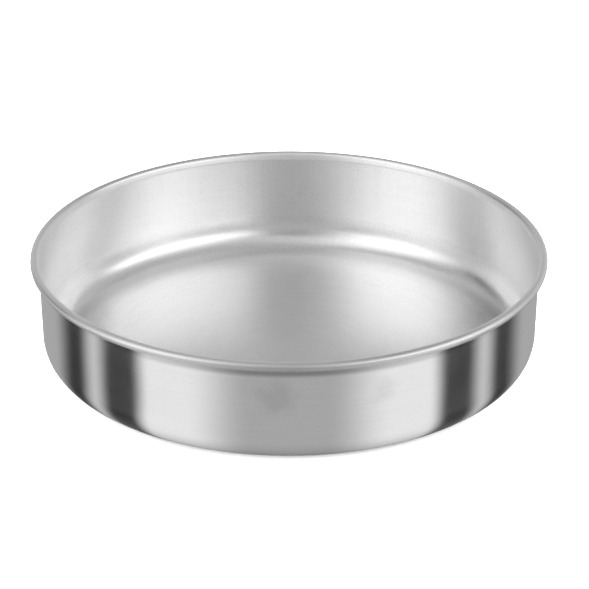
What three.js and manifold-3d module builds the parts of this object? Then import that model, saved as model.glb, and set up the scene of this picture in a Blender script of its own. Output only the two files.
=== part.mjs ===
// Round baking pan, nine inches across and two inches deep: one drawn aluminium shell whose top
// edge flares a little and is then curled outwards round a hoop of steel wire, which stiffens the rim.
// Millimetres, +Z up. The origin is on the pan's axis, at the level that the pan stands on.
import * as THREE from "three";
import { mergeVertices } from "three/addons/utils/BufferGeometryUtils.js";
import Module from "manifold-3d";

// Driving dimensions
const MOUTH_DIAMETER = 228.6; // inside the wall, where the flare starts
const INSIDE_DEPTH = 50.8; // from the floor's upper face to the top of the rim
const SHEET_THICKNESS = 0.8;
const WALL_DRAFT = THREE.MathUtils.degToRad(1.4); // the wall's lean outwards
const CORNER_RADIUS = 12.7; // inside, between the floor and the wall
const FLARE_BEND_RADIUS = 3; // inside, between the wall and the flare
const FLARE_LENGTH = 1.5; // the straight stretch from that bend to the curl
const FLARE_LEAN = THREE.MathUtils.degToRad(15); // beyond the wall's own lean
const WIRE_DIAMETER = 2;
const WIRE_CLEARANCE = 0.25; // all round the wire, inside the curl
const CURL_TUCK_GAP = 0.35; // between the curl's cut edge and the flare's outer face
const WIRE_BUTT_GAP = 1; // between the two cut ends of the hoop

// Fineness of the facets
const CHORD_ERROR = 0.1; // most that a flat facet may lie inside the rim's true circle
const CORNER_STEPS = 7;
const FLARE_BEND_STEPS = 2;
const CURL_STEPS = 15;
const WIRE_SIDES = 12;
const MERGE_DISTANCE = 1e-3; // vertices closer than this are one vertex

// Finishes
const ALUMINIUM = { color: 0xd2d2d2, roughness: 0.32, metalness: 1 };
const GALVANISED_STEEL = { color: 0x9fa3a6, roughness: 0.45, metalness: 1 };

// Sizes that follow from the driving dimensions
const wireRadius = WIRE_DIAMETER / 2;
const curlInnerRadius = wireRadius + WIRE_CLEARANCE;
const curlOuterRadius = curlInnerRadius + SHEET_THICKNESS;
const outerCornerRadius = CORNER_RADIUS + SHEET_THICKNESS;
const curlHeight = SHEET_THICKNESS + INSIDE_DEPTH - curlOuterRadius;

// The pan's section lies in the plane of radius (x) and height (y). A stretch of sheet that leans
// out runs along up, and out is square to it, away from the pan's axis.
function stretch(lean) {
  const up = new THREE.Vector2(Math.sin(lean), Math.cos(lean));
  return { up, out: new THREE.Vector2(up.y, -up.x) };
}
const wall = stretch(WALL_DRAFT);
const flare = stretch(WALL_DRAFT + FLARE_LEAN);

// From the head of the wall's inner face, the bend's arc and the flare lead to the curl's arc.
const headToCurl = new THREE.Vector2()
  .addScaledVector(wall.out, FLARE_BEND_RADIUS)
  .addScaledVector(flare.out, curlOuterRadius - FLARE_BEND_RADIUS)
  .addScaledVector(flare.up, FLARE_LENGTH);
const wallHead = new THREE.Vector2(MOUTH_DIAMETER / 2, curlHeight - headToCurl.y);
const bendCentre = wallHead.clone().addScaledVector(wall.out, FLARE_BEND_RADIUS);
const curlCentre = wallHead.clone().add(headToCurl);
const rimRadius = curlCentre.x + curlOuterRadius;

// The straight wall runs down from there to the corner's arc and touches it.
const wallLength = (wallHead.y - outerCornerRadius - CORNER_RADIUS * wall.out.y) / wall.up.y;
const cornerCentre = wallHead
  .clone()
  .addScaledVector(wall.up, -wallLength)
  .addScaledVector(wall.out, -CORNER_RADIUS);

// Facets round the pan, a multiple of four so that the part is alike along X and along Y.
const facetsRound = 4 * Math.ceil(Math.PI / Math.acos(1 - CHORD_ERROR / rimRadius) / 4);

// Points of a section's arc, first and last point included. Angles are from the radius axis.
function arc(centre, radius, from, to, steps) {
  return Array.from({ length: steps + 1 }, (_, step) => {
    const angle = from + ((to - from) * step) / steps;
    return new THREE.Vector2(Math.cos(angle), Math.sin(angle)).multiplyScalar(radius).add(centre);
  });
}

// A section turned about the pan's axis. LatheGeometry turns about Y, so it is set upright.
function turned(section) {
  return new THREE.LatheGeometry(section, facetsRound).rotateX(Math.PI / 2);
}

// The sheet of the pan: underside, outer corner, outer wall and flare, the curl's hollow side as far
// as its cut edge, back over the curl's outside, inner flare and wall, inner corner and floor.
function panShell() {
  const floorAngle = -Math.PI / 2;
  const wallAngle = -WALL_DRAFT;
  const bendStart = Math.PI - WALL_DRAFT;
  const curlStart = bendStart - FLARE_LEAN;
  const tuckAngle = Math.acos((curlInnerRadius - CURL_TUCK_GAP) / curlOuterRadius);
  const curlEnd = curlStart - 2 * Math.PI + tuckAngle;
  return turned([
    new THREE.Vector2(0, 0),
    ...arc(cornerCentre, outerCornerRadius, floorAngle, wallAngle, CORNER_STEPS),
    ...arc(bendCentre, FLARE_BEND_RADIUS - SHEET_THICKNESS, bendStart, curlStart, FLARE_BEND_STEPS),
    ...arc(curlCentre, curlInnerRadius, curlStart, curlEnd, CURL_STEPS),
    ...arc(curlCentre, curlOuterRadius, curlEnd, curlStart, CURL_STEPS),
    ...arc(bendCentre, FLARE_BEND_RADIUS, curlStart, bendStart, FLARE_BEND_STEPS),
    ...arc(cornerCentre, CORNER_RADIUS, wallAngle, floorAngle, CORNER_STEPS),
    new THREE.Vector2(0, SHEET_THICKNESS),
  ]);
}

const wasm = await Module();
wasm.setup();

// A closed geometry as a solid that can be cut.
function solidOf(geometry) {
  const bare = geometry.clone();
  bare.deleteAttribute("normal");
  bare.deleteAttribute("uv");
  const merged = mergeVertices(bare, MERGE_DISTANCE);
  const mesh = new wasm.Mesh({
    numProp: 3,
    vertProperties: merged.attributes.position.array,
    triVerts: new Uint32Array(merged.index.array),
  });
  return new wasm.Manifold(mesh);
}

// A solid's vertices and triangles as a geometry.
function geometryOf(solid) {
  const mesh = solid.getMesh();
  return new THREE.BufferGeometry()
    .setAttribute("position", new THREE.BufferAttribute(mesh.vertProperties, 3))
    .setIndex(new THREE.BufferAttribute(mesh.triVerts, 1));
}

// The wire lies on the curl's centre line. Its ends are cut square and stand a little apart at
// the back of the pan.
function rimWire() {
  const ring = turned(arc(curlCentre, wireRadius, 0, 2 * Math.PI, WIRE_SIDES));
  const cut = new THREE.BoxGeometry(WIRE_BUTT_GAP, 2 * WIRE_DIAMETER, 2 * WIRE_DIAMETER);
  cut.translate(0, curlCentre.x, curlCentre.y);
  return geometryOf(solidOf(ring).subtract(solidOf(cut)));
}

function piece(name, geometry, finish) {
  const mesh = new THREE.Mesh(geometry, new THREE.MeshStandardMaterial(finish));
  mesh.name = name;
  return mesh;
}

const pan = new THREE.Group();
pan.add(piece("pan_shell", panShell(), ALUMINIUM));
pan.add(piece("rim_wire", rimWire(), GALVANISED_STEEL));

export default pan;
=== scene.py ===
# %% [markdown]
# # A round baking pan
# The pan is drawn from one sheet of aluminium. Its edge flares a little and is curled outwards round a
# hoop of steel wire, so the whole object is a section turned about an axis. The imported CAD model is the
# frame: it says where everything is, and this lesson gives it a finer skin, its metal and a small studio.

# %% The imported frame
import math

import bpy
import numpy as np
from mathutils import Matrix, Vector


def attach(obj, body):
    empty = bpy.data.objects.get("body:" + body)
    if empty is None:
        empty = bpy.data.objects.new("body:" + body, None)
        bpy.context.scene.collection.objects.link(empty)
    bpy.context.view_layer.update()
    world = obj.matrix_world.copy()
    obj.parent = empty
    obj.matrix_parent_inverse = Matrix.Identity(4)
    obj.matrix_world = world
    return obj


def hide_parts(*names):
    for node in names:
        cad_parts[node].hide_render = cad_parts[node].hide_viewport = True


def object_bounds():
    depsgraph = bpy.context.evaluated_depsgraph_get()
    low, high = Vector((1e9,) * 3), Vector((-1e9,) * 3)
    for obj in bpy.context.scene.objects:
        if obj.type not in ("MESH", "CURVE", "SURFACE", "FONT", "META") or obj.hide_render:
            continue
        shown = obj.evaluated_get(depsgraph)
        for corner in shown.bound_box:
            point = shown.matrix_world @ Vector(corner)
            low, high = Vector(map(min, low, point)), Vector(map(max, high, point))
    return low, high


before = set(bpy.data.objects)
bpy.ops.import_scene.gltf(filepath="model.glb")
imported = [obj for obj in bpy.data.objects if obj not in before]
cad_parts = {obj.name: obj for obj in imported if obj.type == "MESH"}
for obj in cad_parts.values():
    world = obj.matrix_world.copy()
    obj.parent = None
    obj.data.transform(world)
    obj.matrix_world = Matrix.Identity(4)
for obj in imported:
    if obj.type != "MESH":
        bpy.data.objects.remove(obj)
cad_low, cad_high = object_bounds()
print("CAD box in metres:", list(cad_low), list(cad_high))

# %% [markdown]
# ## The camera
# The pan was photographed from a little above, with a long lens from over a metre away. The angle, the
# distance and the lens follow from the rim's ellipse and from how much smaller the far side is.

# %% The camera
CAMERA_TILT = math.radians(24.464)
CAMERA_REACH = 1.3002  # metres from the middle of the rim
CAMERA_AIM = Vector((0.00252, 0.0, 0.02817))
LENS = 172.69  # millimetres
SENSOR_WIDTH = 36.0  # millimetres

lens = bpy.data.cameras.new("camera")
lens.lens = LENS
lens.sensor_width = SENSOR_WIDTH
camera = bpy.data.objects.new("camera", lens)
camera.location = (
    0.0,
    -CAMERA_REACH * math.cos(CAMERA_TILT),
    cad_high.z + CAMERA_REACH * math.sin(CAMERA_TILT),
)
camera.rotation_euler = (CAMERA_AIM - camera.location).to_track_quat("-Z", "Y").to_euler()
bpy.context.scene.collection.objects.link(camera)
bpy.context.scene.camera = camera
print("camera at", [round(x, 4) for x in camera.location])

# %% [markdown]
# ## The section
# A press draws the sheet into the pan, and rollers flare its edge and curl it. The section is therefore
# a chain of straight runs and arcs that touch each other. Its sizes are the CAD model's, in metres. Two
# arrows serve each leaning stretch: up runs along the sheet, and out is square to it.

# %% Sizes of the section
MM = 0.001
MOUTH_RADIUS = 114.3 * MM
INSIDE_DEPTH = 50.8 * MM
SHEET = 0.8 * MM
DRAFT = math.radians(1.4)
CORNER = 12.7 * MM
FLARE_BEND = 3.0 * MM
FLARE_LENGTH = 1.5 * MM
FLARE_LEAN = math.radians(15.0)
WIRE_RADIUS = 1.0 * MM
WIRE_CLEARANCE = 0.25 * MM
TUCK_GAP = 0.35 * MM

curl_inner = WIRE_RADIUS + WIRE_CLEARANCE
curl_outer = curl_inner + SHEET
outer_corner = CORNER + SHEET
up = np.array([math.sin(DRAFT), math.cos(DRAFT)])
out = np.array([up[1], -up[0]])
flare_up = np.array([math.sin(DRAFT + FLARE_LEAN), math.cos(DRAFT + FLARE_LEAN)])
flare_out = np.array([flare_up[1], -flare_up[0]])
to_curl = FLARE_BEND * out + (curl_outer - FLARE_BEND) * flare_out + FLARE_LENGTH * flare_up
inner_head = np.array([MOUTH_RADIUS, SHEET + INSIDE_DEPTH - curl_outer - to_curl[1]])
bend_centre = inner_head + FLARE_BEND * out
curl_centre = inner_head + to_curl
outer_head = inner_head + SHEET * out
outer_foot = outer_head - up * (outer_head[1] - outer_corner * (1.0 + out[1])) / up[1]
corner_centre = outer_foot - outer_corner * out
print("rim radius", curl_centre[0] + curl_outer, "and the CAD model's", cad_high.x)

# %% Runs and arcs
def run(start, end, steps):
    """Points on a straight line: start plus a growing share of the way to end."""
    share = np.linspace(0.0, 1.0, steps + 1)[:, None]
    return np.asarray(start) * (1.0 - share) + np.asarray(end) * share


def arc(centre, radius, start, end, steps):
    """Points on a circle: centre plus radius times (cosine, sine) of angles from start to end."""
    angle = np.linspace(start, end, steps + 1)
    return centre + radius * np.stack([np.cos(angle), np.sin(angle)], axis=1)


# %% [markdown]
# Inside, the sheet springs back a little when the punch lets go. The floor then rises gently before the
# corner, and the corner starts and ends softly. It is drawn as a walk: the heading turns along an S curve
# from the floor's slope to the wall's, and each step goes the way the heading points.

# %% The inner corner
DISH_RISE = 1.2 * MM
DISH_SLOPE = math.radians(3.5)
BEND_LENGTH = 26.0 * MM
BEND_STEPS = 48
DISH_STEPS = 16


def bend(first, last, length, steps):
    """A walk from (0, 0): the heading is first plus (last - first) times 3t^2 - 2t^3, and the places are
    the running sum of (cosine, sine) of the heading times the step."""
    share = (np.arange(steps) + 0.5) / steps
    heading = first + (last - first) * (3.0 * share**2 - 2.0 * share**3)
    walk = np.cumsum(np.stack([np.cos(heading), np.sin(heading)], axis=1), axis=0) * length / steps
    return np.concatenate([np.zeros((1, 2)), walk])


inner_bend = bend(DISH_SLOPE, math.pi / 2 - DRAFT, BEND_LENGTH, BEND_STEPS)
bend_top = SHEET + DISH_RISE + inner_bend[-1, 1]
inner_foot = inner_head + up * (bend_top - inner_head[1]) / up[1]
inner_bend = inner_bend + inner_foot - inner_bend[-1]
dish_start = inner_bend[0, 0] - 2.0 * DISH_RISE / math.tan(DISH_SLOPE)
dish_share = np.linspace(0.0, 1.0, DISH_STEPS + 1)
dish = np.stack([
    dish_start + (inner_bend[0, 0] - dish_start) * dish_share,
    SHEET + DISH_RISE * dish_share**2], axis=1)
print("the floor is flat to a radius of", round(dish_start / MM, 1), "mm")
print("the corner starts at a radius of", round(inner_bend[0, 0] / MM, 1), "mm")

# %% [markdown]
# The cut edge of the curl is tucked against the flare, with its corners broken as a slitter leaves them.
# Each stretch of the section carries the name of its finish: satin inside, a matt lip where the rollers
# pulled the sheet over, a rolled bead, a brighter outside and a plain underside. Bends get more steps
# than straight runs, apart from the walls, whose waves need some too.

# %% Stretches of the section
FLAT_STEPS = 6
INNER_WALL_STEPS = 24
FLARE_BEND_STEPS = 6
FLARE_STEPS = 4
LIP_STEPS = 10
BEAD_STEPS = 36
EDGE_STEPS = 2
HOLLOW_STEPS = 20
OUTER_WALL_STEPS = 60
OUTER_CORNER_STEPS = 24
UNDER_STEPS = 4

wall_side = math.pi - DRAFT
curl_start = wall_side - FLARE_LEAN
tuck = math.acos((curl_inner - TUCK_GAP) / curl_outer)
curl_end = curl_start - 2.0 * math.pi + tuck
edge_way = np.array([math.cos(curl_end), math.sin(curl_end)])
EDGE_BREAK = 0.15 * MM
break_turn = EDGE_BREAK / curl_outer
LIP_END = math.radians(115.0)  # on the curl's arc, a little inside its top

stretches = [
    ("floor", run((0.0, SHEET), dish[0], FLAT_STEPS)),
    ("floor", dish),
    ("floor", inner_bend),
    ("inner wall", run(inner_foot, inner_head, INNER_WALL_STEPS)),
    ("lip", arc(bend_centre, FLARE_BEND, wall_side, curl_start, FLARE_BEND_STEPS)),
    ("lip", run(
        bend_centre - FLARE_BEND * flare_out,
        curl_centre - curl_outer * flare_out, FLARE_STEPS)),
    ("lip", arc(curl_centre, curl_outer, curl_start, LIP_END, LIP_STEPS)),
    ("rim", arc(curl_centre, curl_outer, LIP_END, curl_end + break_turn, BEAD_STEPS)),
    ("rim", run(
        curl_centre + (curl_outer - EDGE_BREAK) * edge_way,
        curl_centre + (curl_inner + EDGE_BREAK) * edge_way, EDGE_STEPS)),
    ("rim", arc(curl_centre, curl_inner, curl_end + break_turn, curl_start, HOLLOW_STEPS)),
    ("outside", run(
        curl_centre - curl_inner * flare_out,
        bend_centre - (FLARE_BEND - SHEET) * flare_out, FLARE_STEPS)),
    ("outside", arc(bend_centre, FLARE_BEND - SHEET, curl_start, wall_side, FLARE_BEND_STEPS)),
    ("outside", run(outer_head, outer_foot, OUTER_WALL_STEPS)),
    ("outside", arc(corner_centre, outer_corner, -DRAFT, -math.pi / 2, OUTER_CORNER_STEPS)),
    ("under", run((corner_centre[0], 0.0), (0.0, 0.0), UNDER_STEPS)),
]
print(len(stretches), "stretches")

# %% [markdown]
# The stretches are joined into one line of points. Where a stretch starts at the last point of the one
# before, that point is dropped. Each step keeps its finish, and each point its distance along the line.

# %% The whole section
FINISHES = ["floor", "inner wall", "lip", "rim", "outside", "under"]
points = [stretches[0][1]]
finish_of = [np.zeros(len(stretches[0][1]) - 1, int)]
for label, stretch in stretches[1:]:
    joined = np.allclose(points[-1][-1], stretch[0])
    points.append(stretch[1:] if joined else stretch)
    finish_of.append(np.full(len(points[-1]), FINISHES.index(label)))
section = np.concatenate(points)
step_finish = np.concatenate(finish_of)
along = np.concatenate([[0.0], np.cumsum(np.linalg.norm(np.diff(section, axis=0), axis=1))])
print(len(section), "points along", round(along[-1], 4), "metres of section")

# %% [markdown]
# ## The drawn shell
# Pressing and polishing leave the wall not quite true: it waves by a few hundredths of a millimetre,
# which shows only as slightly wandering reflections. One faint ring is left where the sheet paused in
# the die. Both are real shapes, so they go into the mesh.

# %% The shell's surface
TURNS = 360
WAVE_HEIGHT = 0.02 * MM
RING_HEIGHT = 20.5 * MM
RING_WIDTH = 0.6 * MM
RING_DEPTH = 0.012 * MM
# Each ripple's count round the pan, its lean in radians from corner to curl, and its size
RIPPLES = [(7, 0.3, 1.0), (11, -1.9, 0.7), (17, 2.6, 0.5), (26, -3.3, 0.3)]


def wall_wave(angle, height):
    """Slow ripples of a drawn wall: sines round the pan, each leaning with height, that fade to
    nothing at the corner and under the curl, by the sine of the height's share of the wall."""
    share = np.clip((height - outer_corner) / (inner_head[1] - outer_corner), 0.0, 1.0)
    wave = sum(size * np.sin(count * angle + lean * share + count) for count, lean, size in RIPPLES)
    return WAVE_HEIGHT * np.sin(math.pi * share) * wave


def draw_ring(height):
    """A shallow groove: a bell curve of the height above the table."""
    return RING_DEPTH * np.exp(-(((height - RING_HEIGHT) / RING_WIDTH) ** 2))


def turned(section_points, turns):
    """The section at even angles about Z, as angle, radius and height. The first axis of radius and
    height runs along the section and the second round the pan."""
    angle = np.linspace(0.0, 2.0 * math.pi, turns, endpoint=False)[None, :]
    radius = np.repeat(section_points[:, 0:1], turns, axis=1)
    height = np.repeat(section_points[:, 1:2], turns, axis=1)
    return angle, radius, height


angle, radius, height = turned(section, TURNS)
radius = radius + np.where(radius > 0.0, wall_wave(angle, height), 0.0)
is_outside = np.append(step_finish == FINISHES.index("outside"), False)[:, None]
radius = radius - np.where(is_outside, draw_ring(height), 0.0)
shell_points = np.stack([radius * np.cos(angle), radius * np.sin(angle), height], axis=2)
print("the wall waves by up to", round(float(np.abs(wall_wave(angle, height)).max() / MM), 4), "mm")


# %% Meshes from grids
def grid_faces(rows, columns, closed):
    """Quads between neighbouring rows and columns, as four vertex numbers each. In a closed grid the
    last column meets the first. Also gives each corner's row and column, for the map."""
    gaps = columns if closed else columns - 1
    row, column = np.meshgrid(np.arange(rows - 1), np.arange(gaps), indexing="ij")
    corner_row = np.stack([row, row + 1, row + 1, row], axis=-1).reshape(-1, 4)
    corner_column = np.stack([column, column, column + 1, column + 1], axis=-1).reshape(-1, 4)
    return corner_row * columns + corner_column % columns, corner_row, corner_column


def make_piece(name, vertices, faces, corner_map, face_finish):
    """A smooth mesh object at the origin, with a map called section: along the section in metres,
    and round the pan as a share of the turn."""
    mesh = bpy.data.meshes.new(name)
    mesh.from_pydata(vertices.tolist(), [], faces)
    mesh.uv_layers.new(name="section").data.foreach_set("uv", corner_map.astype(np.float32).ravel())
    mesh.polygons.foreach_set("material_index", face_finish.astype(np.int32))
    mesh.polygons.foreach_set("use_smooth", np.ones(len(mesh.polygons), bool))
    mesh.validate()
    piece = bpy.data.objects.new(name, mesh)
    bpy.context.scene.collection.objects.link(piece)
    print(name, len(vertices), "points", len(faces), "faces")
    return piece


# %% [markdown]
# The floor and the underside meet the axis in one point each. There the ring of quads gives way to a fan
# of triangles, so that the pole is closed and no face has two corners in the same place.

# %% The shell
rings = shell_points[1:-1]
ring_count = len(rings)
quads, quad_row, quad_column = grid_faces(ring_count, TURNS, closed=True)
top, bottom = ring_count * TURNS, ring_count * TURNS + 1
spoke = np.arange(TURNS)
last_ring = (ring_count - 1) * TURNS
top_fan = np.stack([np.full(TURNS, top), spoke, (spoke + 1) % TURNS], axis=1)
bottom_fan = np.stack(
    [last_ring + spoke, np.full(TURNS, bottom), last_ring + (spoke + 1) % TURNS], axis=1)
quad_map = np.stack([along[1:-1][quad_row], quad_column / TURNS], axis=-1)
top_map = np.stack([
    np.stack([np.full(TURNS, along[0]), (spoke + 0.5) / TURNS], axis=1),
    np.stack([np.full(TURNS, along[1]), spoke / TURNS], axis=1),
    np.stack([np.full(TURNS, along[1]), (spoke + 1) / TURNS], axis=1)], axis=1)
bottom_map = np.stack([
    np.stack([np.full(TURNS, along[-2]), spoke / TURNS], axis=1),
    np.stack([np.full(TURNS, along[-1]), (spoke + 0.5) / TURNS], axis=1),
    np.stack([np.full(TURNS, along[-2]), (spoke + 1) / TURNS], axis=1)], axis=1)
shell = make_piece(
    "drawn_shell",
    np.concatenate([rings.reshape(-1, 3), shell_points[0, :1], shell_points[-1, :1]]),
    quads.tolist() + top_fan.tolist() + bottom_fan.tolist(),
    np.concatenate([part.reshape(-1, 2) for part in (quad_map, top_map, bottom_map)]),
    np.concatenate([
        step_finish[1:-1][quad_row[:, 0]],
        np.full(TURNS, FINISHES.index("floor")),
        np.full(TURNS, FINISHES.index("under"))]),
)
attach(shell, "root")
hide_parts("pan_shell")

# %% [markdown]
# ## The wire hoop
# The hoop lies in the curl and can only be seen through the slit under the rim. It is a round bar bent
# into a circle, with its two cut ends a little apart at the back. A profile carried along a path gives
# it, with a cap at each end.

# %% The hoop
BUTT_GAP = 1.0 * MM
HOOP_STEPS = 300
HOOP_SIDES = 24
half_gap = 0.5 * BUTT_GAP / curl_centre[0]
sweep_start = math.pi / 2 + half_gap
sweep = np.linspace(sweep_start, sweep_start + 2.0 * (math.pi - half_gap), HOOP_STEPS)[:, None]
roll = np.linspace(0.0, 2.0 * math.pi, HOOP_SIDES, endpoint=False)[None, :]
hoop_radius = curl_centre[0] + WIRE_RADIUS * np.cos(roll)
hoop_points = np.stack([
    hoop_radius * np.cos(sweep),
    hoop_radius * np.sin(sweep),
    curl_centre[1] + WIRE_RADIUS * np.sin(roll) + 0.0 * sweep], axis=2)
hoop_quads, hoop_row, hoop_column = grid_faces(HOOP_STEPS, HOOP_SIDES, closed=True)
side = np.arange(HOOP_SIDES)
end_row = (HOOP_STEPS - 1) * HOOP_SIDES
end_caps = [side.tolist(), (end_row + side[::-1]).tolist()]
hoop_map = np.stack(
    [hoop_column / HOOP_SIDES * 2.0 * math.pi * WIRE_RADIUS, hoop_row / HOOP_STEPS], axis=-1)
hoop = make_piece(
    "wire_hoop",
    hoop_points.reshape(-1, 3),
    hoop_quads[:, ::-1].tolist() + end_caps,
    np.concatenate([hoop_map[:, ::-1].reshape(-1, 2), np.zeros((2 * HOOP_SIDES, 2))]),
    np.zeros(len(hoop_quads) + 2),
)
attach(hoop, "root")
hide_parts("rim_wire")


# %% [markdown]
# ## Helpers for nodes
# A material is a small graph of nodes. Four helpers keep it readable: one adds a node and joins or sets
# its sockets, one does a sum, one makes a smooth step, and one opens a node group with named sockets.

# %% Helpers for nodes
def add(tree, kind, sockets=None, **settings):
    """A new node: settings are its properties. A socket that is given an output is joined to it, and
    a socket that is given a number or colour is set to it."""
    made = tree.nodes.new("ShaderNode" + kind)
    for name, value in settings.items():
        setattr(made, name, value)
    for name, value in (sockets or {}).items():
        if isinstance(value, bpy.types.NodeSocket):
            tree.links.new(value, made.inputs[name])
        else:
            made.inputs[name].default_value = value
    return made


def sums(tree, operation, first, second=0.0, third=0.0):
    """The result of one Math node."""
    return add(tree, "Math", {0: first, 1: second, 2: third}, operation=operation).outputs[0]


def between(tree, value, low, high, bottom=0.0, top=1.0):
    """A smooth step: bottom where value is under low, top where it is over high, an S curve between."""
    sockets = {"Value": value, 1: low, 2: high, 3: bottom, 4: top}
    return add(tree, "MapRange", sockets, interpolation_type="SMOOTHSTEP").outputs[0]


def open_group(name, inputs, outputs):
    """A new node group whose sockets are plain numbers. Gives the tree and its two ends."""
    tree = bpy.data.node_groups.new(name, "ShaderNodeTree")
    for label, value in inputs.items():
        socket = tree.interface.new_socket(label, in_out="INPUT", socket_type="NodeSocketFloat")
        socket.default_value = value
    for label in outputs:
        tree.interface.new_socket(label, in_out="OUTPUT", socket_type="NodeSocketFloat")
    return tree, tree.nodes.new("NodeGroupInput").outputs, tree.nodes.new("NodeGroupOutput").inputs


# %% [markdown]
# ## Grain round the pan
# The pan spins while it is polished, so its grain runs round it in fine rings. Noise in space would have
# no direction. Here the noise is looked up at (cosine, sine) of the angle and at the place along the
# section: it changes slowly round the pan and quickly across it, and it meets itself without a seam.

# %% Grain round the pan
def metres_along(tree):
    """The first number of the map called section."""
    return add(tree, "SeparateXYZ", {0: add(tree, "UVMap", uv_map="section").outputs[0]}).outputs[0]


def build_turned_noise():
    """Noise at (spread x cosine, spread x sine, lines x metres along the section)."""
    sockets = {"Spread": 4.0, "Lines": 400.0, "Detail": 2.0}
    tree, inputs, outputs = open_group("turned noise", sockets, ["Value"])
    place = add(tree, "TexCoord").outputs["Object"]
    flat = add(tree, "VectorMath", {0: place, 1: (1.0, 1.0, 0.0)}, operation="MULTIPLY").outputs[0]
    way = add(tree, "VectorMath", {0: flat}, operation="NORMALIZE").outputs[0]
    way = add(tree, "VectorMath", {0: way, "Scale": inputs["Spread"]}, operation="SCALE").outputs[0]
    across = sums(tree, "MULTIPLY", metres_along(tree), inputs["Lines"])
    rise = add(tree, "CombineXYZ", {"Z": across}).outputs[0]
    spot = add(tree, "VectorMath", {0: way, 1: rise}, operation="ADD").outputs[0]
    noise = add(tree, "TexNoise", {"Vector": spot, "Scale": 1.0, "Detail": inputs["Detail"]}).outputs[0]
    tree.links.new(noise, outputs["Value"])
    return tree


turned_noise = build_turned_noise()
print("node group", turned_noise.name)


# %% [markdown]
# ## Scuffs
# Forks, racks and stacking leave hairlines in many directions. Each set of hairlines is noise stretched
# some thirtyfold along one line and kept only where it peaks. A few sets at odd angles look random.

# %% Scuffs
HAIRLINE_TURNS = (0.4, 1.7, 2.5)  # radians about Z, one for each set
HAIRLINE_TILT = 0.3  # radians about X, from one set to the next
HAIRLINE_DIP = 0.2  # radians about Y
HAIRLINE_SQUEEZE = 0.03  # of the noise along its line, which stretches it
HAIRLINE_EDGE = 0.06  # from nothing to a full line, in the noise's value


def build_hairlines():
    """The largest of several stretched noises, each turned about Z, past a threshold."""
    tree, inputs, outputs = open_group("hairlines", {"Lines": 700.0, "Rarity": 0.7}, ["Value"])
    place = add(tree, "TexCoord").outputs["Object"]
    total = None
    squeeze = (HAIRLINE_SQUEEZE, 1.0, 1.0)
    for number, turn in enumerate(HAIRLINE_TURNS):
        rotation = (HAIRLINE_TILT * number, HAIRLINE_DIP, turn)
        sockets = {"Vector": place, "Rotation": rotation, "Location": (number, 0.0, 0.0)}
        spot = add(tree, "Mapping", sockets).outputs[0]
        spot = add(tree, "VectorMath", {0: spot, 1: squeeze}, operation="MULTIPLY").outputs[0]
        noise = add(tree, "TexNoise", {"Vector": spot, "Scale": inputs["Lines"], "Detail": 1.0}).outputs[0]
        line = between(tree, noise, inputs["Rarity"], sums(tree, "ADD", inputs["Rarity"], HAIRLINE_EDGE))
        total = line if total is None else sums(tree, "MAXIMUM", total, line)
    tree.links.new(total, outputs["Value"])
    return tree


hairlines = build_hairlines()
print("node group", hairlines.name)


# %% [markdown]
# ## Marks and painted shade on the metal
# Four kinds of mark are not grain, and three of them are painted shade. A darker ring is painted where the
# floor turns up into the corner, for the dark surroundings that the corner mirrors. A band of painted
# shade darkens the wall under the bead, most at the front. There the bead's outer face has painted shade
# too, for the dark front that it mirrors, and hands have left two smudges on the outer wall. Each mark is
# a mask that is one in its middle and fades out around it.

# %% Where the marks and the painted shade lie
def along_at(point):
    """Metres along the section, to the point of it that is nearest to the one given."""
    return along[np.argmin(np.linalg.norm(section - point, axis=1))]


rim_start = along_at(curl_centre + curl_outer * np.array([math.cos(LIP_END), math.sin(LIP_END)]))
# The bead's outer face gets painted shade at the front, for the dark front that it mirrors
RIM_SHADE_START = rim_start + 0.9 * MM  # metres along the section
RIM_SHADE_FULL = rim_start + 2.6 * MM
RIM_SHADE_POWER = 8.0
# A ring of painted shade where the floor turns up into the corner
CORNER_SHADE_RING = along_at(inner_bend[0]) + 6.2 * MM  # metres along the section
CORNER_SHADE_REACH = 5.5 * MM
# A band of painted shade on the outer wall under the bead, deepest at the front
UNDER_BEAD_SHADE_FOOT = 42.8 * MM  # above the table
UNDER_BEAD_SHADE_HEAD = 45.4 * MM
UNDER_BEAD_SHADE_POWER = 4.0
# The corner's ring of painted shade lies this far along the section
print("the punch's ring lies", round(CORNER_SHADE_RING / MM, 1), "mm along the section")
# The bead's painted shade starts this far along the section
print("the bead starts to dull", round(RIM_SHADE_START / MM, 1), "mm along it")


# %% Marks and painted shade as masks
def painted_corner_shade(tree):
    """Painted shade in the inner corner: an S curve of the distance from the ring, measured along the
    section.
    """
    off_ring = sums(tree, "ABSOLUTE", sums(tree, "SUBTRACT", metres_along(tree), CORNER_SHADE_RING))
    return between(tree, off_ring, 0.0, CORNER_SHADE_REACH, 1.0, 0.0)


def front(tree, power):
    """A power of how far forward a place is, as a share of the mouth's radius, and nothing in the back
    half."""
    y = add(tree, "SeparateXYZ", {0: add(tree, "TexCoord").outputs["Object"]}).outputs[1]
    forward = sums(tree, "MAXIMUM", sums(tree, "MULTIPLY", y, -1.0 / MOUTH_RADIUS), 0.0)
    return sums(tree, "POWER", forward, power)


def painted_under_bead_shade(tree):
    """Painted shade under the bead: an S curve of the height, times a power of how far forward
    the place is.
    """
    height = add(tree, "SeparateXYZ", {0: add(tree, "TexCoord").outputs["Object"]}).outputs[2]
    band = between(tree, height, UNDER_BEAD_SHADE_FOOT, UNDER_BEAD_SHADE_HEAD)
    return sums(tree, "MULTIPLY", band, front(tree, UNDER_BEAD_SHADE_POWER))


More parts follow.
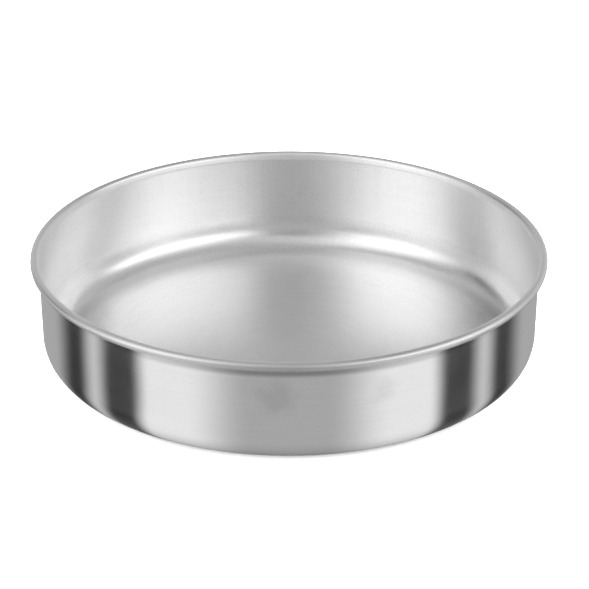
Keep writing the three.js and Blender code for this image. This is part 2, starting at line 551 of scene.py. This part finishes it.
def painted_rim_shade(tree):
    """Painted shade on the bead's outer face, for the dark front that it mirrors: an S curve of the
    place along the section, from the bead's top to its outer face, times a power of how far forward
    the place is."""
    outer_face = between(tree, metres_along(tree), RIM_SHADE_START, RIM_SHADE_FULL)
    return sums(tree, "MULTIPLY", outer_face, front(tree, RIM_SHADE_POWER))


# %% Smudges
SMUDGE_MIDDLE = 0.2  # of its reach, where a smudge is full
SMUDGE_EDGE = 0.4  # of its reach, by which its edge is ragged
SMUDGE_GRAIN = 150.0  # of the ragged edge's noise, per metre


def smudge(turn, height, reach):
    """Gives a mask: an S curve of the distance from one place on the wall, made ragged by noise."""
    centre = (MOUTH_RADIUS * math.cos(turn), MOUTH_RADIUS * math.sin(turn), height)

    def mask(tree):
        """One up to the smudge's middle and nothing past its reach."""
        place = add(tree, "TexCoord").outputs["Object"]
        distance = add(tree, "VectorMath", {0: place, 1: centre}, operation="DISTANCE").outputs["Value"]
        noise = add(tree, "TexNoise", {"Vector": place, "Scale": SMUDGE_GRAIN, "Detail": 3.0}).outputs[0]
        ragged = sums(tree, "MULTIPLY", sums(tree, "SUBTRACT", noise, 0.5), 2.0 * SMUDGE_EDGE * reach)
        return between(tree, sums(tree, "ADD", distance, ragged), SMUDGE_MIDDLE * reach, reach, 1.0, 0.0)

    return mask


# %% [markdown]
# ## The aluminium
# Polished aluminium is a mirror blurred by its grain: much across the rings, little along them. The
# Principled shader's anisotropy does that once its tangent points along the section. Rings, grit, draw
# lines and hairlines then vary the tone, the roughness and, as a bump of about a micrometre at most, the
# slope. The finishes differ only in how much of each they have, and in their marks and painted shade.

# %% The aluminium
CLOUD_TONE = 0.06  # share of the slow cloud in the tone
CLOUD_ROUGHNESS = 0.08  # and in the roughness
SCUFF_ROUGHNESS = 0.3
GRAIN_RELIEF = 4e-6  # metres, of rings and grit whose share is one
DRAW_RELIEF = 2e-5
SCUFF_DEPTH = 1e-6


def aluminium(name, tone, roughness, anisotropy, streaks, grit, draw_lines, scuffs, marks_and_shade=()):
    """A metal whose tone has streaks, grit, draw lines and a slow cloud added to it, each a noise about
    zero times its share. Roughness follows the cloud, and the hairlines are rougher and sunken. Each mark,
    a real smudge or painted shade, is a mask and the share of the tone that it takes away."""
    made = bpy.data.materials.new(name)
    made.use_nodes = True
    tree = made.node_tree
    tree.nodes.clear()
    place = add(tree, "TexCoord").outputs["Object"]

    def centred(noise):
        """Noise less a half, so that it lies about zero."""
        return sums(tree, "SUBTRACT", noise, 0.5)

    def speckle(scale, detail):
        """Noise in space about zero, with so many cells to the metre."""
        sockets = {"Vector": place, "Scale": scale, "Detail": detail}
        return centred(add(tree, "TexNoise", sockets).outputs[0])

    def grain_round(spread, lines, detail):
        """Turned noise about zero, with so many lines to the metre."""
        sockets = {"Spread": spread, "Lines": lines, "Detail": detail}
        return centred(add(tree, "Group", sockets, node_tree=turned_noise).outputs[0])

    fine_rings = grain_round(spread=5.0, lines=1500.0, detail=3.0)
    broad_rings = grain_round(spread=2.0, lines=300.0, detail=2.0)
    rings = sums(tree, "ADD", fine_rings, broad_rings)
    drawn = grain_round(spread=70.0, lines=12.0, detail=2.0)
    cloud = speckle(scale=28.0, detail=2.0)
    grain = speckle(scale=1200.0, detail=1.0)
    scratch = add(tree, "Group", {"Lines": 900.0, "Rarity": 0.72}, node_tree=hairlines).outputs[0]

    shade = sums(tree, "MULTIPLY_ADD", rings, streaks, tone)
    shade = sums(tree, "MULTIPLY_ADD", grain, grit, shade)
    shade = sums(tree, "MULTIPLY_ADD", drawn, draw_lines, shade)
    shade = sums(tree, "MULTIPLY_ADD", cloud, CLOUD_TONE, shade)
    for mask, share in marks_and_shade:
        shade = sums(tree, "MULTIPLY", shade, sums(tree, "MULTIPLY_ADD", mask(tree), -share, 1.0))
    colour = add(tree, "CombineColor", {0: shade, 1: shade, 2: shade}).outputs[0]
    rough = sums(tree, "MULTIPLY_ADD", cloud, CLOUD_ROUGHNESS, roughness)
    rough = sums(tree, "MULTIPLY_ADD", scratch, SCUFF_ROUGHNESS * scuffs, rough)
    relief = sums(tree, "MULTIPLY", rings, GRAIN_RELIEF * streaks)
    relief = sums(tree, "MULTIPLY_ADD", grain, GRAIN_RELIEF * grit, relief)
    relief = sums(tree, "MULTIPLY_ADD", drawn, DRAW_RELIEF * draw_lines, relief)
    relief = sums(tree, "MULTIPLY_ADD", scratch, -SCUFF_DEPTH * scuffs, relief)
    metal = add(tree, "BsdfPrincipled", {
        "Base Color": colour, "Metallic": 1.0, "Roughness": rough, "Anisotropic": anisotropy,
        "Tangent": add(tree, "Tangent", direction_type="UV_MAP", uv_map="section").outputs[0],
        "Normal": add(tree, "Bump", {"Distance": 1.0, "Height": relief}).outputs[0]})
    add(tree, "OutputMaterial", {"Surface": metal.outputs[0]})
    return made


# %% The shell's finishes
# Painted shade under the bead, then two smudges that hands left on the wall
outside_shade_and_smudges = [
    (painted_under_bead_shade, 0.48),
    (smudge(math.radians(-93.0), 33.5 * MM, 12.0 * MM), 0.13),
    (smudge(math.radians(-69.0), 34.0 * MM, 8.0 * MM), 0.10),
]
finishes = [
    # The satin floor carries the painted shade in its corner
    aluminium("satin floor", tone=0.95, roughness=0.30, anisotropy=0.4,
              streaks=0.08, grit=0.25, draw_lines=0.0, scuffs=0.4, marks_and_shade=[(painted_corner_shade, 0.18)]),
    aluminium("satin wall", tone=0.99, roughness=0.37, anisotropy=0.85,
              streaks=0.06, grit=0.25, draw_lines=0.10, scuffs=0.2),
    aluminium("rolled lip", tone=0.95, roughness=0.40, anisotropy=0.0,
              streaks=0.02, grit=0.20, draw_lines=0.0, scuffs=0.1),
    # The rolled rim carries painted shade on the bead's front
    aluminium("rolled rim", tone=0.95, roughness=0.45, anisotropy=0.0,
              streaks=0.02, grit=0.10, draw_lines=0.0, scuffs=0.1, marks_and_shade=[(painted_rim_shade, 0.23)]),
    aluminium("polished outside", tone=0.95, roughness=0.14, anisotropy=0.8,
              streaks=0.05, grit=0.05, draw_lines=0.0, scuffs=0.1, marks_and_shade=outside_shade_and_smudges),
    aluminium("underside", tone=0.90, roughness=0.38, anisotropy=0.5,
              streaks=0.10, grit=0.20, draw_lines=0.0, scuffs=1.0),
]
for finish in finishes:
    shell.data.materials.append(finish)
print([finish.name for finish in finishes])

# %% [markdown]
# ## The wire's metal
# The wire is galvanised: dull zinc with pale spangles. Cells of differing grey, as frost grows on glass,
# come from a Voronoi pattern.

# %% The wire's metal
SPANGLES = 900.0  # cells to the metre
DARK_SPANGLE, PALE_SPANGLE = 0.48, 0.66
DARK_ROUGHNESS, PALE_ROUGHNESS = 0.55, 0.40
SPANGLE_RELIEF = 2e-6  # metres

zinc = bpy.data.materials.new("galvanised wire")
zinc.use_nodes = True
tree = zinc.node_tree
tree.nodes.clear()
place = add(tree, "TexCoord").outputs["Object"]
spangle = add(tree, "TexVoronoi", {"Vector": place, "Scale": SPANGLES}).outputs["Color"]
spangle = add(tree, "SeparateColor", {0: spangle}).outputs[0]
grey = add(tree, "MapRange", {"Value": spangle, 3: DARK_SPANGLE, 4: PALE_SPANGLE}).outputs[0]
dull = add(tree, "MapRange", {"Value": spangle, 3: DARK_ROUGHNESS, 4: PALE_ROUGHNESS}).outputs[0]
slope = add(tree, "Bump", {"Strength": 1.0, "Distance": SPANGLE_RELIEF, "Height": spangle}).outputs[0]
metal = add(tree, "BsdfPrincipled", {
    "Base Color": add(tree, "CombineColor", {0: grey, 1: grey, 2: grey}).outputs[0],
    "Metallic": 1.0, "Roughness": dull, "Normal": slope})
add(tree, "OutputMaterial", {"Surface": metal.outputs[0]})
hoop.data.materials.append(zinc)
print(zinc.name)

# %% [markdown]
# ## The floor
# A plain pale table top. The pan's wall would mirror it and lose its stripes, so the floor is hidden
# from reflections. It lies a hair under the pan, so that no two faces share a plane.

# %% The floor
FLOOR_REACH = 6.0  # metres from the pan's axis to each edge
FLOOR_DROP = 0.1 * MM
FLOOR_TONE = 0.98
ends = np.array([-FLOOR_REACH, FLOOR_REACH])
floor_x, floor_y = np.meshgrid(ends, ends, indexing="ij")
floor_points = np.stack([floor_x, floor_y, np.full((2, 2), -FLOOR_DROP)], axis=2)
floor_faces, floor_row, floor_column = grid_faces(2, 2, closed=False)
floor = make_piece("floor", floor_points.reshape(-1, 3), floor_faces.tolist(),
                   np.stack([floor_row, floor_column], axis=-1).reshape(-1, 2), np.zeros(1))
floor.visible_glossy = False

pale = bpy.data.materials.new("pale table")
pale.use_nodes = True
tree = pale.node_tree
tree.nodes.clear()
matt = add(tree, "BsdfDiffuse", {"Color": (FLOOR_TONE, FLOOR_TONE, FLOOR_TONE, 1.0)})
add(tree, "OutputMaterial", {"Surface": matt.outputs[0]})
floor.data.materials.append(pale)

# %% [markdown]
# ## The studio
# A metal pan shows its surroundings, so the light is a ring of surroundings: a grey tent, a softbox on
# each side of the camera, and dark flags that draw the stripes on the wall. Each is a card with soft
# edges, hung before those already there, with an extent across and an extent upright in degrees.
#
# Most cards are placed by azimuth and elevation, seen from the pan. Azimuth 0 is the camera's side. The
# stripes on the outer wall are easier to place by the metal that mirrors them: a patch shows the camera
# whatever lies as far beyond its square as the camera lies before it. So these cards are placed by where
# that patch faces, round from the camera, and by how much it leans back.
#
# Only mirrored light sees the cards. All other light comes from plain paper, which keeps the table even.

# %% A card in the studio
def build_card():
    """Level inside the card and the backdrop outside, with soft edges: the product of four S curves,
    two of the angle across and two of the upright angle, all in degrees."""
    names = ["Backdrop", "Across", "Upright", "From", "To", "Soft from", "Soft to", "Low", "High",
             "Soft low", "Soft high", "Level"]
    tree, inputs, outputs = open_group("card", {name: 0.0 for name in names}, ["Value"])
    mask = None
    for angle_name, edge, soft, sign in (
            ("Across", "From", "Soft from", 1.0), ("Across", "To", "Soft to", -1.0),
            ("Upright", "Low", "Soft low", 1.0), ("Upright", "High", "Soft high", -1.0)):
        inward = sums(tree, "MULTIPLY", sums(tree, "SUBTRACT", inputs[angle_name], inputs[edge]), sign)
        half = sums(tree, "MULTIPLY", inputs[soft], 0.5)
        inside = between(tree, inward, sums(tree, "MULTIPLY", half, -1.0), half)
        mask = inside if mask is None else sums(tree, "MULTIPLY", mask, inside)
    change = sums(tree, "SUBTRACT", inputs["Level"], inputs["Backdrop"])
    tree.links.new(sums(tree, "MULTIPLY_ADD", change, mask, inputs["Backdrop"]), outputs["Value"])
    return tree


card = build_card()
print("node group", card.name)

# %% Angles of a direction
studio = bpy.data.worlds.new("studio")
studio.use_nodes = True
studio.cycles.sampling_method = "NONE"
tree = studio.node_tree
tree.nodes.clear()
way = add(tree, "SeparateXYZ", {0: add(tree, "TexCoord").outputs["Generated"]}).outputs
right = sums(tree, "DEGREES", sums(tree, "ARCTAN2", way[0], sums(tree, "MULTIPLY", way[1], -1.0)))
left = sums(tree, "MULTIPLY", right, -1.0)
aside = sums(tree, "ABSOLUTE", right)
rise = sums(tree, "DEGREES", sums(tree, "ARCSINE", way[2]))
# The patch that mirrors this direction to the camera faces half-way between the two
half_front = sums(tree, "SUBTRACT", math.cos(CAMERA_TILT), way[1])
half_square = sums(tree, "MULTIPLY_ADD", way[0], way[0], sums(tree, "POWER", half_front, 2.0))
half_out = sums(tree, "SQRT", half_square)
half_up = sums(tree, "ADD", way[2], math.sin(CAMERA_TILT))
facing = sums(tree, "DEGREES", sums(tree, "ARCTAN2", sums(tree, "ABSOLUTE", way[0]), half_front))
lean = sums(tree, "DEGREES", sums(tree, "ARCTAN2", half_up, half_out))
# What a card can be placed by: an angle across and an upright one
LEFT, RIGHT, BOTH, WALL = (left, rise), (right, rise), (aside, rise), (facing, lean)
print("world", studio.name)

# %% The cards
TENT = 0.39


def hang(backdrop, angles, level, across, upright, soft_across=(1.0, 1.0), soft_upright=(1.0, 1.0)):
    """Hangs one card before the backdrop and gives the new backdrop. Across and upright are where the
    card starts and ends, and soft_across and soft_upright are the widths of those edges."""
    return add(tree, "Group", {
        "Backdrop": backdrop, "Across": angles[0], "Upright": angles[1], "Level": level,
        "From": across[0], "To": across[1], "Soft from": soft_across[0], "Soft to": soft_across[1],
        "Low": upright[0], "High": upright[1], "Soft low": soft_upright[0], "Soft high": soft_upright[1],
    }, node_tree=card).outputs[0]


# Far behind the pan, a pale wall that its floor mirrors
light = hang(TENT, BOTH, 0.7, (131.0, 200.0), (-10.0, 17.0), (40.0, 1.0), (10.0, 30.0))
# On the camera's side: its grey stand, the dark camera, and the grey ceiling over it
light = hang(light, BOTH, 0.30, (-1.0, 14.0), (-14.0, 26.0), (1.0, 20.0), (8.0, 12.0))
light = hang(light, BOTH, 0.10, (-1.0, 10.0), (27.0, 38.0), (1.0, 14.0), (6.0, 6.0))
light = hang(light, BOTH, 0.55, (-1.0, 31.0), (40.0, 75.0), (1.0, 20.0), (12.0, 12.0))
# A softbox on each side. The right one is brighter in its lower half.
light = hang(light, RIGHT, 1.1, (34.0, 81.0), (20.0, 48.0), (24.0, 24.0), (20.0, 20.0))
light = hang(light, LEFT, 1.4, (29.0, 84.0), (2.0, 65.0), (31.0, 34.0), (5.0, 60.0))
light = hang(light, RIGHT, 1.7, (19.0, 97.0), (11.0, 34.0), (22.0, 6.0), (27.0, 10.0))
# Dark flags beyond the softboxes
light = hang(light, LEFT, 0.06, (100.0, 137.0), (1.0, 35.0), (20.0, 20.0), (10.0, 10.0))
light = hang(light, RIGHT, 0.0, (131.0, 155.0), (45.0, 78.0), (20.0, 20.0), (10.0, 10.0))
# A strip on each side that the bead mirrors
light = hang(light, WALL, 1.0, (30.0, 55.0), (3.0, 14.0), (14.0, 20.0), (4.0, 4.0))
# On the outer wall: the pale panel, the black flag beside it, and the slit in that flag
light = hang(light, WALL, 0.83, (16.5, 40.0), (-95.0, 3.0), (16.0, 1.0), (1.0, 4.0))
light = hang(light, WALL, 0.035, (35.8, 63.0), (-95.0, 3.0), (5.5, 10.0), (1.0, 4.0))
light = hang(light, WALL, 0.56, (47.0, 52.7), (-95.0, 3.0), (6.0, 6.5), (1.0, 4.0))
# The shade on the table, which the outer corner mirrors
light = hang(light, WALL, 0.18, (-1.0, 181.0), (-95.0, -42.0), (1.0, 1.0), (1.0, 68.0))
print(sum(node.type == "GROUP" for node in tree.nodes), "cards")

# %% The light
PAPER = 4.0

path = add(tree, "LightPath").outputs
shown = add(tree, "Mix", {0: path["Is Glossy Ray"], 2: PAPER, 3: light}).outputs[0]
backdrop = add(tree, "Background", {"Color": (1.0, 1.0, 1.0, 1.0), "Strength": shown})
add(tree, "OutputWorld", {"Surface": backdrop.outputs[0]})
bpy.context.scene.world = studio
bpy.context.scene.view_settings.view_transform = "Standard"
print("the tent's level is", TENT, "and the paper's is", PAPER)
